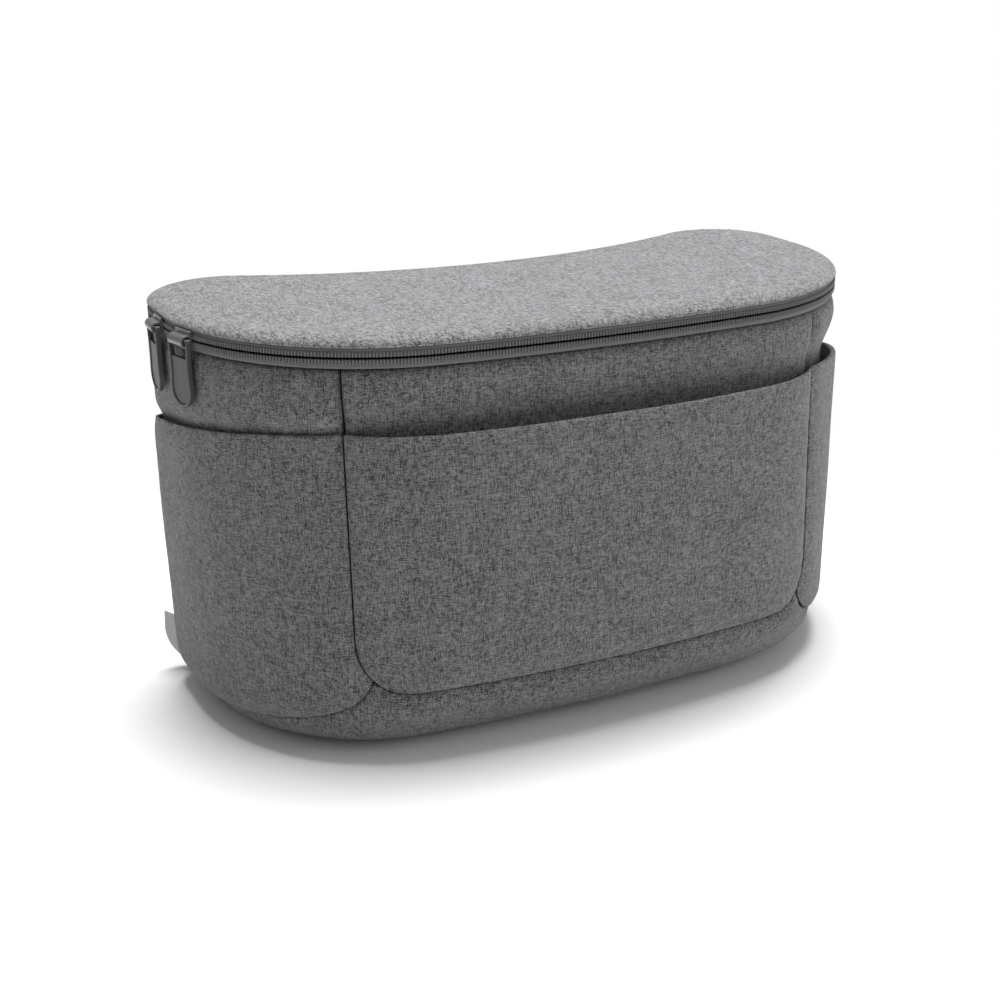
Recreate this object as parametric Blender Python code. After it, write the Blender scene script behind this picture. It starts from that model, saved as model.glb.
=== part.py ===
"""Stroller organizer: a padded fabric bag with a curved plan, a zipped lid, a front pocket and two side pockets.

Metres, +Z up. The bag stands on its bottom, its front faces -Y and the origin is at the bottom centre
of its bounding box. Every fabric panel is a piece of one body surface: a plan outline of tangent arcs,
which rounds under at the bottom. A panel is drawn flat, with s along the outline and z up, and is then
laid on that surface with its own thickness.
"""
import math

import bmesh
import bpy
from mathutils import Matrix, Vector

# Plan outline at the zip
HALF_WIDTH = 0.1500
DEPTH_AT_MIDDLE = 0.1170
FRONT_BOW_RADIUS = 0.700
FRONT_CORNER_RADIUS = 0.090
BACK_HOLLOW_RADIUS = 0.247
BACK_CORNER_RADIUS = 0.032
SMALLEST_CORNER = 0.004

# Heights above the floor; zip and lid are stacked on the body's top edge
BODY_TOP = 0.1604
LOWER_ZIP_BAND = 0.0042
UPPER_ZIP_BAND = 0.0039
LID_THICKNESS = 0.0035
LID_EDGE = 0.0008
LID_ROLL = 0.0044
ZIP_CENTRE = BODY_TOP + LOWER_ZIP_BAND
LID_SEAM = ZIP_CENTRE + UPPER_ZIP_BAND
LID_TOP = LID_SEAM + LID_THICKNESS

# Seam on top of the bottom gusset: level in front, round the pocket's corner, then falling to the back
FRONT_SEAM_HEIGHT = 0.0300
POCKET_CORNER_RADIUS = 0.022
CORNER_DIP = 0.0094
CORNER_DIP_LENGTH = 0.005
SIDE_FALL = 0.0235
SIDE_FALL_LENGTH = 0.050

# Underside and belly
UNDER_RADIUS_FRONT = 0.036
UNDER_RADIUS_SIDE = 0.018
UNDER_RADIUS_BACK = 0.024
BELLY_SLOPE = 0.040

# Seams, as places along the outline
FRONT_SEAM_AT = 0.1080
BACK_SEAM_ANGLE = math.radians(30.0)
SEAM_GAP = 0.0003

# Layers
WALL_THICKNESS = 0.0080
LINING_THICKNESS = 0.0012
LINING_DROP = 0.0006
POCKET_THICKNESS = 0.0020
FRONT_RECESS = 0.0032
SIDE_RECESS = 0.0050
BOTTOM_THICKNESS = 0.0030

# Pocket hems, as drops below the body's top edge, and how far the walls stand out above them
HEM_BELOW_TOP = 0.0246
HEM_CROWN = 0.0008
HEM_AT_SEAM = BODY_TOP - HEM_BELOW_TOP
HEM_AT_MIDDLE = HEM_AT_SEAM + HEM_CROWN
SIDE_HEM_SLOPE = 0.05
SIDE_HEM_CURVE = 0.6
FRONT_RISE_START = 0.0005
FRONT_RISE_END = 0.0120
SIDE_RISE_START = -0.0040
SIDE_RISE_END = 0.0200
GAPE_START_HEIGHT = 0.0110
HEM_MARK = 0.0040
FRONT_GAPE = 0.0078
FRONT_BELLY = 0.0048
LEFT_GAPE = 0.0022
RIGHT_GAPE = 0.0052

# Zip
ROW_GAP = 0.0016
ROW_HEIGHT = 0.0013
ROW_THICKNESS = 0.0016
ROW_DEPTH = 0.0005
TAPE_THICKNESS = 0.0008
TAPE_DEPTH = 0.0010

# Sliders and pullers
SLIDER_LENGTH = 0.0105
SLIDER_HEIGHT = 0.0074
PLATE_THICKNESS = 0.0012
PLATE_LIFT = 0.0002
INNER_PLATE_DEPTH = 0.0025
INNER_PLATE_THICKNESS = 0.0010
NECK_LENGTH = 0.0030
NECK_HEIGHT = 0.0009
CROWN_LENGTH = 0.0100
CROWN_RADIUS = 0.0022
CROWN_HOLLOW_RADIUS = 0.0013
PULLER_WIDTH = 0.0146
PULLER_WAIST = 0.0136
PULLER_REACH = 0.0272
PULLER_THICKNESS = 0.0018
PULLER_WINDOW_WIDTH = 0.0108
PULLER_WINDOW_REACH = 0.0070
PULLER_BAR_RADIUS = 0.0009
PULLER_STANDOFF = 0.0015
PULLER_SHOULDER = 0.0022
PULLER_CHAMFER = 0.0006
PULLER_BAR_INSET = 0.0012
REAR_SLIDER_SETBACK = 0.0022
FRONT_SLIDER_ANGLE = math.radians(15.1)

# Attachment straps on the back
STRAP_HALF_SPACING = 0.058
STRAP_WIDTH = 0.025
STRAP_THICKNESS = 0.0016
STRAP_LOOP_DEPTH = 0.0150
STRAP_LOOP_HEIGHT = 0.046
STRAP_CENTRE_HEIGHT = 0.106
STRAP_CLEARANCE = 0.0004

# Seam tab at the left back seam
TAB_LENGTH = 0.027
TAB_REACH = 0.0078
TAB_THICKNESS = 0.0008
TAB_CLEARANCE = 0.0004
TAB_BENDS = 5
TAB_TOP = 0.0265
TAB_TURN = math.radians(30.0)

GAP = 0.0003
OVERLAP = 0.0004
FABRIC = (0.155, 0.150, 0.153)
LID_FABRIC = (0.190, 0.186, 0.190)
TRIM = (0.075, 0.073, 0.076)


def outline_at(inset):
    """Centres, radii and turning angles of the right half of the plan outline, moved in by inset."""
    front_y = -DEPTH_AT_MIDDLE / 2
    hollow_y = DEPTH_AT_MIDDLE / 2 + BACK_HOLLOW_RADIUS
    corner = Vector((HALF_WIDTH - FRONT_CORNER_RADIUS, 0.0))
    reach = FRONT_BOW_RADIUS - FRONT_CORNER_RADIUS
    corner.y = front_y + FRONT_BOW_RADIUS - math.sqrt(reach ** 2 - corner.x ** 2)
    front_turn = math.asin(corner.x / reach)
    back_radius = max(BACK_CORNER_RADIUS - inset, SMALLEST_CORNER)
    back = Vector((HALF_WIDTH - inset - back_radius, 0.0))
    reach = BACK_HOLLOW_RADIUS + inset + back_radius
    back.y = hollow_y - math.sqrt(reach ** 2 - back.x ** 2)
    hollow_turn = math.asin(back.x / reach)
    return {"front_centre": Vector((0.0, front_y + FRONT_BOW_RADIUS)), "front_turn": front_turn,
            "front_radius": FRONT_BOW_RADIUS - inset, "corner": corner,
            "corner_radius": FRONT_CORNER_RADIUS - inset, "back": back, "back_radius": back_radius,
            "hollow_centre": Vector((0.0, hollow_y)), "hollow_turn": hollow_turn,
            "hollow_radius": BACK_HOLLOW_RADIUS + inset, "side_x": HALF_WIDTH - inset}


def stretch_lengths():
    """Lengths of the five stretches of the right half: front, corner, side, back corner, hollow."""
    base = outline_at(0.0)
    return [base["front_radius"] * base["front_turn"],
            base["corner_radius"] * (math.pi / 2 - base["front_turn"]),
            base["back"].y - base["corner"].y,
            base["back_radius"] * (math.pi / 2 + base["hollow_turn"]),
            base["hollow_radius"] * base["hollow_turn"]]


LENGTHS = stretch_lengths()
ENDS = [sum(LENGTHS[:i]) for i in range(6)]
HALF_LENGTH = ENDS[5]
BACK_SEAM_AT = ENDS[3] + BACK_CORNER_RADIUS * BACK_SEAM_ANGLE


def plan_point(s, inset):
    """Point and outward normal of the outline, s metres along it from the middle of the front."""
    s = (s + HALF_LENGTH) % (2 * HALF_LENGTH) - HALF_LENGTH
    side = 1.0 if s >= 0 else -1.0
    along = min(abs(s), HALF_LENGTH)
    shape = outline_at(inset)
    stretch = max(i for i in range(5) if along >= ENDS[i])
    part = (along - ENDS[stretch]) / LENGTHS[stretch]
    if stretch == 0:
        angle = -math.pi / 2 + part * shape["front_turn"]
        centre, radius, facing = shape["front_centre"], shape["front_radius"], 1.0
    elif stretch == 1:
        angle = (1 - part) * (shape["front_turn"] - math.pi / 2)
        centre, radius, facing = shape["corner"], shape["corner_radius"], 1.0
    elif stretch == 2:
        angle, radius, facing = 0.0, 0.0, 1.0
        centre = Vector((shape["side_x"], 0.0))
        centre.y = shape["corner"].y + part * (shape["back"].y - shape["corner"].y)
    elif stretch == 3:
        angle = part * (math.pi / 2 + shape["hollow_turn"])
        centre, radius, facing = shape["back"], shape["back_radius"], 1.0
    else:
        angle = -math.pi / 2 + (1 - part) * shape["hollow_turn"]
        centre, radius, facing = shape["hollow_centre"], shape["hollow_radius"], -1.0
    ray = Vector((math.cos(angle), math.sin(angle)))
    point = centre + ray * radius
    normal = ray * facing
    return Vector((side * point.x, point.y)), Vector((side * normal.x, normal.y))


def under_radius(s):
    """How far the surface rounds under at this place along the outline."""
    s = (s + HALF_LENGTH) % (2 * HALF_LENGTH) - HALF_LENGTH
    along = abs(s)
    marks = [(ENDS[0], UNDER_RADIUS_FRONT), (ENDS[1], UNDER_RADIUS_FRONT), (ENDS[2], UNDER_RADIUS_SIDE),
             (ENDS[3], UNDER_RADIUS_SIDE), (ENDS[4], UNDER_RADIUS_BACK), (ENDS[5], UNDER_RADIUS_BACK)]
    for (start, first), (end, last) in zip(marks, marks[1:]):
        if along <= end:
            return first + (last - first) * (along - start) / (end - start)
    return UNDER_RADIUS_BACK


def ramp(value, low, high):
    """Smooth step from 0 at low to 1 at high."""
    part = min(max((value - low) / (high - low), 0.0), 1.0)
    return part * part * (3 - 2 * part)


def body_point(s, z, depth):
    """Point depth metres inside the body surface, at s along the outline and z above the floor."""
    radius = under_radius(s)
    lean = math.asin(min(max((radius - z) / radius, 0.0), 1.0))
    inset = radius * (1 - math.cos(lean)) + depth * math.cos(lean)
    point, normal = plan_point(s, inset)
    point.y -= BELLY_SLOPE * (BODY_TOP - min(z, BODY_TOP)) * max(0.0, -normal.y)
    return Vector((point.x, point.y, z + depth * math.sin(lean)))


def seam_height(s):
    """Height of the seam on top of the bottom gusset: level in front, up round the pocket corner, then down."""
    along = abs(s)
    arc_start = FRONT_SEAM_AT - POCKET_CORNER_RADIUS
    arc_end = arc_start + POCKET_CORNER_RADIUS * math.sin(math.pi / 4)
    if along <= arc_end:
        over = max(along - arc_start, 0.0)
        return FRONT_SEAM_HEIGHT + POCKET_CORNER_RADIUS - math.sqrt(POCKET_CORNER_RADIUS ** 2 - over ** 2)
    peak = FRONT_SEAM_HEIGHT + POCKET_CORNER_RADIUS * (1 - math.cos(math.pi / 4))
    past = along - arc_end
    corner_dip = CORNER_DIP * (1 - math.exp(-past / CORNER_DIP_LENGTH))
    side_fall = SIDE_FALL * (1 - math.exp(-past / SIDE_FALL_LENGTH))
    return peak - corner_dip - side_fall


def above_seam(s):
    """Lower edge of the panels that stand on the gusset."""
    return seam_height(s) + SEAM_GAP


def front_hem(s):
    """Height of the front pocket's hem."""
    return HEM_AT_SEAM + (HEM_AT_MIDDLE - HEM_AT_SEAM) * (1 - (s / FRONT_SEAM_AT) ** 2)


def side_hem(s):
    """Height of a side pocket's hem, which falls towards the back."""
    past = abs(s) - FRONT_SEAM_AT
    return HEM_AT_SEAM - SIDE_HEM_SLOPE * past - SIDE_HEM_CURVE * past ** 2


def front_wall_depth(s, z):
    """Depth of the front wall, which lies deeper behind the pocket than above its hem."""
    return FRONT_RECESS * (1 - ramp(z, HEM_AT_MIDDLE + FRONT_RISE_START, HEM_AT_MIDDLE + FRONT_RISE_END))


def side_wall_depth(s, z):
    """Depth of a side wall, which leans out gently above the pocket's hem."""
    return SIDE_RECESS * (1 - ramp(z, side_hem(s) + SIDE_RISE_START, side_hem(s) + SIDE_RISE_END))


def front_pocket_depth(s, z):
    """Depth of the front pocket's panel, which bellies out and gapes at its hem."""
    across = 1 - (s / FRONT_SEAM_AT) ** 4
    height = (z - FRONT_SEAM_HEIGHT) / (HEM_AT_SEAM - FRONT_SEAM_HEIGHT)
    height = min(max(height, 0.0), 1.0)
    swell = FRONT_BELLY * math.sin(math.pi * min(height, 0.5)) + (FRONT_GAPE - FRONT_BELLY) * ramp(height, 0.5, 1.0)
    return GAP - across * swell


def side_pocket_depth(gape):
    """Depth function of a side pocket whose hem stands off by gape, most at the straight side."""
    def depth(s, z):
        middle = (ENDS[2] + ENDS[3]) / 2
        reach = abs(abs(s) - middle) / (middle - FRONT_SEAM_AT)
        across = max(0.0, 1 - reach ** 2) ** 2
        if abs(s) > middle:
            back_reach = (abs(s) - middle) / (BACK_SEAM_AT - middle)
            across = max(0.0, 1 - back_reach ** 4)
        height = min(max((z - GAPE_START_HEIGHT) / (side_hem(s) - GAPE_START_HEIGHT), 0.0), 1.0)
        return GAP - gape * across * math.sin(math.pi / 2 * height)
    return depth


def stations():
    """Places along the outline where the surface's facets meet, once round from -HALF_LENGTH."""
    counts = (4, 10, 2, 8, 5)
    right = [ENDS[i] + LENGTHS[i] * k / n for i, n in enumerate(counts) for k in range(n)] + [HALF_LENGTH]
    return [-s for s in reversed(right[1:])] + right[:-1]


def between(low, high, step_list):
    return [value for value in step_list if low + 0.0008 < value < high - 0.0008]


def under_marks():
    """Heights of the facets where the surface rounds under."""
    return [UNDER_RADIUS_FRONT * (1 - math.sin(math.radians(a))) for a in (75, 58, 42, 26, 12)]


def height_marks():
    """Heights at which panels are cut, close together at the underside and at the hems."""
    wall_height = HEM_AT_SEAM - UNDER_RADIUS_FRONT
    return (under_marks() + [UNDER_RADIUS_FRONT + wall_height * share for share in (0.2, 0.4, 0.6, 0.8)]
            + [HEM_AT_SEAM - HEM_MARK, HEM_AT_SEAM + HEM_MARK, HEM_AT_SEAM + FRONT_RISE_END])


def material(name, colour, roughness, metallic=0.0):
    made = bpy.data.materials.new(name)
    made.use_nodes = True
    shader = made.node_tree.nodes["Principled BSDF"]
    shader.inputs["Base Color"].default_value = (*colour, 1.0)
    shader.inputs["Roughness"].default_value = roughness
    shader.inputs["Metallic"].default_value = metallic
    return made


def add_object(name, mesh_data, look, smooth=True):
    bm = mesh_data
    bmesh.ops.recalc_face_normals(bm, faces=bm.faces)
    mesh = bpy.data.meshes.new(name)
    bm.to_mesh(mesh)
    bm.free()
    if smooth:
        mesh.shade_smooth()
        mesh.set_sharp_from_angle(angle=math.radians(35))
    mesh.materials.append(material(name, *look))
    made = bpy.data.objects.new(name, mesh)
    bpy.context.scene.collection.objects.link(made)
    return made


def panel(name, border, outer, thickness, look, marks=None):
    """A fabric panel: border is a list of (s, z), outer gives the depth of its outer face."""
    bm = bmesh.new()
    corners = [bm.verts.new((s, 0.0, z)) for s, z in border]
    bm.faces.new(corners)
    low, high = min(s for s, z in border), max(s for s, z in border)
    round_twice = stations() + [s + 2 * HALF_LENGTH for s in stations()]
    for s in between(low, high, round_twice):
        cut(bm, Vector((s, 0, 0)), Vector((1, 0, 0)))
    low, high = min(z for s, z in border), max(z for s, z in border)
    for z in between(low, high, marks or height_marks()):
        cut(bm, Vector((0, 0, z)), Vector((0, 0, 1)))
    grown = bmesh.ops.extrude_face_region(bm, geom=bm.faces[:])
    inner = {element for element in grown["geom"] if isinstance(element, bmesh.types.BMVert)}
    for vert in bm.verts:
        s, z = vert.co.x, vert.co.z
        depth = outer(s, z) + (thickness(s, z) if vert in inner else 0.0)
        vert.co = body_point(s, z, depth)
    bmesh.ops.triangulate(bm, faces=bm.faces[:])
    return add_object(name, bm, look)


def cut(bm, point, normal):
    geometry = bm.verts[:] + bm.edges[:] + bm.faces[:]
    bmesh.ops.bisect_plane(bm, geom=geometry, dist=0.00001, plane_co=point, plane_no=normal)


def border_between(start, end, lower, upper, extra=()):
    """Border of a panel from start to end along the outline, between two height functions."""
    marks = sorted(set([start, end] + between(start, end, stations()) + between(start, end, list(extra))))
    return [(s, lower(s)) for s in marks] + [(s, upper(s)) for s in reversed(marks)]


def level(height):
    return lambda s: height


def constant(value):
    return lambda s, z: value


def ring_loft(name, rings, look, closed_bottom=True, closed_top=True):
    """A solid through rings of points, given from the bottom up, with flat ends."""
    bm = bmesh.new()
    loops = [[bm.verts.new(point) for point in ring] for ring in rings]
    for below, above in zip(loops, loops[1:]):
        for i in range(len(below)):
            j = (i + 1) % len(below)
            bm.faces.new((below[i], below[j], above[j], above[i]))
    if closed_bottom:
        bm.faces.new(list(reversed(loops[0])))
    if closed_top:
        bm.faces.new(loops[-1])
    bmesh.ops.triangulate(bm, faces=bm.faces[:])
    return add_object(name, bm, look)


def ring_at(inset, z):
    return [Vector((*plan_point(s, inset)[0], z)) for s in stations()]


def box_mesh(bm, low, high):
    made = bmesh.ops.create_cube(bm, size=1.0)["verts"]
    for vert in made:
        vert.co = Vector([a + (b - a) * (c + 0.5) for a, b, c in zip(low, high, vert.co)])
    return made


def combine(target, other_mesh, operation):
    """Boolean of target with a closed mesh, which is then removed."""
    mesh = bpy.data.meshes.new("tool")
    bmesh.ops.recalc_face_normals(other_mesh, faces=other_mesh.faces)
    other_mesh.to_mesh(mesh)
    other_mesh.free()
    tool = bpy.data.objects.new("tool", mesh)
    bpy.context.scene.collection.objects.link(tool)
    modifier = target.modifiers.new("combine", "BOOLEAN")
    modifier.operation = operation
    modifier.solver = "EXACT"
    modifier.object = tool
    graph = bpy.context.evaluated_depsgraph_get()
    result = bpy.data.meshes.new_from_object(target.evaluated_get(graph))
    target.modifiers.clear()
    target.data = result
    bpy.data.objects.remove(tool)


def prism(points, axis_low, axis_high):
    """Prism along local X, from points given as (y, z)."""
    bm = bmesh.new()
    face = bm.faces.new([bm.verts.new((axis_low, y, z)) for y, z in points])
    grown = bmesh.ops.extrude_face_region(bm, geom=[face])
    for element in grown["geom"]:
        if isinstance(element, bmesh.types.BMVert):
            element.co.x = axis_high
    return bm


def arc(centre_y, centre_z, radius, start, end, count):
    angles = [math.radians(start + (end - start) * k / count) for k in range(count + 1)]
    return [(centre_y + radius * math.cos(a), centre_z + radius * math.sin(a)) for a in angles]


def make_body(look):
    """Padded walls, the gusset, the bottom and its stiffener board."""
    seam = SEAM_GAP / 2
    corner_marks = [FRONT_SEAM_AT - POCKET_CORNER_RADIUS * (1 - math.sin(math.radians(a))) for a in (0, 15, 30, 45)]
    corner_marks += [corner_marks[-1] + step for step in (0.002, 0.005, 0.010)]
    corner_marks += [-s for s in corner_marks]
    top = level(BODY_TOP)
    border = border_between(-FRONT_SEAM_AT + seam, FRONT_SEAM_AT - seam, above_seam, top, corner_marks)
    panel("front_wall", border, front_wall_depth, lambda s, z: WALL_THICKNESS - front_wall_depth(s, z), look)
    for name, sign in (("left", -1), ("right", 1)):
        ends = sorted((sign * (FRONT_SEAM_AT + seam), sign * (BACK_SEAM_AT - seam)))
        border = border_between(*ends, above_seam, top, corner_marks)
        panel("side_wall_" + name, border, side_wall_depth, lambda s, z: WALL_THICKNESS - side_wall_depth(s, z), look)
    back_ends = (BACK_SEAM_AT + seam, 2 * HALF_LENGTH - BACK_SEAM_AT - seam)
    marks = [s for s in between(*back_ends, stations() + [s + 2 * HALF_LENGTH for s in stations()])]
    back_line = sorted([*back_ends, *marks])
    border = [(s, 0.0) for s in back_line] + [(s, LID_SEAM - GAP) for s in reversed(back_line)]
    panel("back_panel", border, constant(0.0), constant(WALL_THICKNESS), look)
    border = border_between(-BACK_SEAM_AT + seam, BACK_SEAM_AT - seam, level(0.0), seam_height, corner_marks)
    panel("bottom_gusset", border, constant(0.0), constant(WALL_THICKNESS), look)
    inner_edge = [under_radius(s) + GAP for s in stations()]
    edge = [plan_point(s, inset)[0] for s, inset in zip(stations(), inner_edge)]
    for point, s, inset in zip(edge, stations(), inner_edge):
        point.y -= BELLY_SLOPE * BODY_TOP * max(0.0, -plan_point(s, inset)[1].y)
    rings = [[Vector((p.x, p.y, z)) for p in edge] for z in (0.0, BOTTOM_THICKNESS)]
    ring_loft("bottom_panel", rings, look)
    rings = [[Vector((p.x, p.y, z)) for p in edge] for z in (BOTTOM_THICKNESS + GAP, WALL_THICKNESS)]
    ring_loft("base_board", rings, ((0.05, 0.05, 0.05), 0.7))


def make_pockets(look):
    seam = SEAM_GAP / 2
    edge = FRONT_SEAM_AT - seam
    radius = POCKET_CORNER_RADIUS
    turn = [math.radians(90 * k / 6) for k in range(7)]
    low = FRONT_SEAM_HEIGHT + SEAM_GAP
    right_corner = [(edge - radius + radius * math.sin(a), low + radius * (1 - math.cos(a))) for a in turn]
    top = [(s, front_hem(s)) for s in (0.080, 0.040, 0.0, -0.040, -0.080)]
    border = right_corner + [(edge, front_hem(edge))] + top + [(-edge, front_hem(edge))]
    border += [(-s, z) for s, z in reversed(right_corner)]
    panel("front_pocket", border, front_pocket_depth, constant(POCKET_THICKNESS), look)
    for name, sign, gape in (("left", -1, LEFT_GAPE), ("right", 1, RIGHT_GAPE)):
        inner = FRONT_SEAM_AT + seam
        outer = BACK_SEAM_AT - seam
        turn = [math.radians(45 + 45 * k / 3) for k in range(4)]
        centre_s, centre_z = FRONT_SEAM_AT - radius, FRONT_SEAM_HEIGHT + radius
        arc_side = [(centre_s + (radius + seam) * math.sin(a), centre_z - (radius + seam) * math.cos(a)) for a in turn]
        start_s = arc_side[0][0]
        lower = [start_s + step for step in (0.002, 0.005, 0.010)] + between(start_s + 0.012, outer, stations())
        hem_line = between(inner, outer, stations())
        border = [(s, seam_height(s) + SEAM_GAP) for s in reversed(lower + [outer])]
        border += arc_side[:-1] + [(inner, arc_side[-1][1])]
        border += [(s, side_hem(s)) for s in [inner] + hem_line + [outer]]
        border = [(sign * s, z) for s, z in border]
        panel("side_pocket_" + name, border, side_pocket_depth(gape), constant(POCKET_THICKNESS), look)


def make_lining(look):
    """A thin tub that lines the main compartment, open at the top."""
    upper = BODY_TOP - LINING_DROP
    heights = [0.0] + under_marks() + [UNDER_RADIUS_FRONT, (UNDER_RADIUS_FRONT + upper) / 2, upper]
    outer_depth = WALL_THICKNESS + GAP
    outside = [[body_point(s, z, outer_depth) for s in stations()] for z in heights]
    inside = [[body_point(s, z, outer_depth + LINING_THICKNESS) for s in stations()] for z in reversed(heights)]
    ring_loft("lining", outside + inside, look)


def make_lid(look):
    """The padded lid, whose upper edge rolls in softly."""
    rings = [ring_at(LID_EDGE, LID_SEAM), ring_at(0.0, LID_SEAM + LID_EDGE)]
    roll_height = LID_THICKNESS - LID_EDGE
    for angle in (30, 60, 90):
        turn = math.radians(angle)
        rings.append(ring_at(LID_ROLL * (1 - math.cos(turn)), LID_SEAM + LID_EDGE + roll_height * math.sin(turn)))
    ring_loft("lid_panel", rings, look)


def make_zip(tape_look, teeth_look):
    """Two tapes and two rows of teeth round the front and both sides, with a gap that the sliders straddle."""
    end = BACK_SEAM_AT - SEAM_GAP
    row_start = ROW_GAP / 2
    tape_start = row_start + ROW_HEIGHT + GAP
    strips = [("zip_teeth_upper", ZIP_CENTRE + row_start, ZIP_CENTRE + row_start + ROW_HEIGHT, ROW_DEPTH, teeth_look),
              ("zip_teeth_lower", ZIP_CENTRE - row_start - ROW_HEIGHT, ZIP_CENTRE - row_start, ROW_DEPTH, teeth_look),
              ("zip_tape_upper", ZIP_CENTRE + tape_start, LID_SEAM - GAP, TAPE_DEPTH, tape_look),
              ("zip_tape_lower", BODY_TOP + GAP, ZIP_CENTRE - tape_start, TAPE_DEPTH, tape_look)]
    for name, low, high, depth, look in strips:
        thickness = ROW_THICKNESS if "teeth" in name else TAPE_THICKNESS
        panel(name, border_between(-end, end, level(low), level(high)), constant(depth), constant(thickness), look)


def make_slider(name, look):
    """Slider body in its own frame: X along the zip, Y out of the bag, Z up; the pull bar's axis is X."""
    plate_low, plate_high = -PLATE_LIFT, PLATE_THICKNESS - PLATE_LIFT
    axis_y = plate_high + PULLER_STANDOFF
    half = SLIDER_LENGTH / 2
    bm = bmesh.new()
    box_mesh(bm, (-half, plate_low, -SLIDER_HEIGHT / 2), (half, plate_high, SLIDER_HEIGHT / 2))
    made = add_object(name, bm, look, smooth=False)
    outer = [(plate_high - OVERLAP, -CROWN_RADIUS)] + arc(axis_y, 0, CROWN_RADIUS, -90, 90, 10)
    outer += [(plate_high - OVERLAP, CROWN_RADIUS)]
    combine(made, prism(outer, -CROWN_LENGTH / 2, CROWN_LENGTH / 2), "UNION")
    hollow = [(plate_high, -CROWN_HOLLOW_RADIUS)] + arc(axis_y, 0, CROWN_HOLLOW_RADIUS, -90, 90, 8)
    hollow += [(plate_high, CROWN_HOLLOW_RADIUS)]
    combine(made, prism(hollow, -SLIDER_LENGTH, SLIDER_LENGTH), "DIFFERENCE")
    neck = bmesh.new()
    inner_face = -INNER_PLATE_DEPTH
    box_mesh(neck, (-NECK_LENGTH / 2, inner_face - OVERLAP, -NECK_HEIGHT / 2),
             (NECK_LENGTH / 2, plate_low + OVERLAP, NECK_HEIGHT / 2))
    combine(made, neck, "UNION")
    back = bmesh.new()
    box_mesh(back, (-half, inner_face - INNER_PLATE_THICKNESS, -SLIDER_HEIGHT / 2),
             (half, inner_face, SLIDER_HEIGHT / 2))
    combine(made, back, "UNION")
    return made, axis_y


def make_puller(name, look):
    """Moulded pull tab in the slider's frame, with its bar on the origin: a frame round a window, a round end."""
    half_thick = PULLER_THICKNESS / 2
    end_radius = PULLER_WIDTH / 2
    end_centre = -(PULLER_REACH - end_radius)
    waist = PULLER_WAIST / 2
    right = [(end_radius * math.sin(a), end_centre - end_radius * math.cos(a))
             for a in [math.radians(90 * k / 6) for k in range(7)]]
    right += [(waist, (end_centre + -PULLER_WINDOW_REACH) / 2), (waist, -PULLER_WINDOW_REACH)]
    right += [(PULLER_WIDTH / 2, -PULLER_SHOULDER), (PULLER_WIDTH / 2 - PULLER_CHAMFER, half_thick)]
    outline = right + [(-x, z) for x, z in reversed(right[1:])]
    bm = bmesh.new()
    face = bm.faces.new([bm.verts.new((x, -half_thick, z)) for x, z in outline])
    grown = bmesh.ops.extrude_face_region(bm, geom=[face])
    for element in grown["geom"]:
        if isinstance(element, bmesh.types.BMVert):
            element.co.y = half_thick
    made = add_object(name, bm, look, smooth=False)
    window = bmesh.new()
    box_mesh(window, (-PULLER_WINDOW_WIDTH / 2, -PULLER_THICKNESS, -PULLER_WINDOW_REACH),
             (PULLER_WINDOW_WIDTH / 2, PULLER_THICKNESS, PULLER_WINDOW_REACH))
    combine(made, window, "DIFFERENCE")
    bar = prism(arc(0, 0, PULLER_BAR_RADIUS, 0, 330, 11), -PULLER_WIDTH / 2 + PULLER_BAR_INSET, PULLER_WIDTH / 2 - PULLER_BAR_INSET)
    combine(made, bar, "UNION")
    return made


def place_on_outline(made, s, lift, z):
    """Puts an object made in the slider frame at s along the outline, lift outside it."""
    point, normal = plan_point(s, 0.0)
    across = Vector((-normal.y, normal.x))
    spot = point + normal * lift
    made.matrix_world = Matrix(((across.x, normal.x, 0, spot.x), (across.y, normal.y, 0, spot.y),
                                (0, 0, 1, z), (0, 0, 0, 1)))


def make_sliders(metal_look, pull_look):
    front_s = -(ENDS[2] - FRONT_CORNER_RADIUS * FRONT_SLIDER_ANGLE)
    for name, s in (("rear", -(ENDS[2] + REAR_SLIDER_SETBACK)), ("front", front_s)):
        slider, axis_y = make_slider("slider_" + name, metal_look)
        place_on_outline(slider, s, 0.0, ZIP_CENTRE)
        puller = make_puller("puller_" + name, pull_look)
        place_on_outline(puller, s, axis_y, ZIP_CENTRE)


def make_straps(look):
    """Two webbing loops sewn on the hollow of the back, which close round a push bar."""
    half_height = STRAP_LOOP_HEIGHT / 2
    stand = STRAP_WIDTH ** 2 / (8 * BACK_HOLLOW_RADIUS) + STRAP_CLEARANCE
    round_end = STRAP_LOOP_DEPTH / 2

    def loop(shrink):
        radius = round_end - shrink
        middle = stand + round_end
        return (arc(middle, half_height - round_end, radius, 0, 180, 10)
                + arc(middle, -half_height + round_end, radius, 180, 360, 10))

    for name, sign in (("left", -1), ("right", 1)):
        turn = math.asin(STRAP_HALF_SPACING / BACK_HOLLOW_RADIUS)
        s = sign * (HALF_LENGTH - BACK_HOLLOW_RADIUS * turn)
        made = add_object("strap_" + name, prism(loop(0.0), -STRAP_WIDTH / 2, STRAP_WIDTH / 2), look)
        combine(made, prism(loop(STRAP_THICKNESS), -STRAP_WIDTH, STRAP_WIDTH), "DIFFERENCE")
        place_on_outline(made, s, 0.0, STRAP_CENTRE_HEIGHT)


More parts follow.
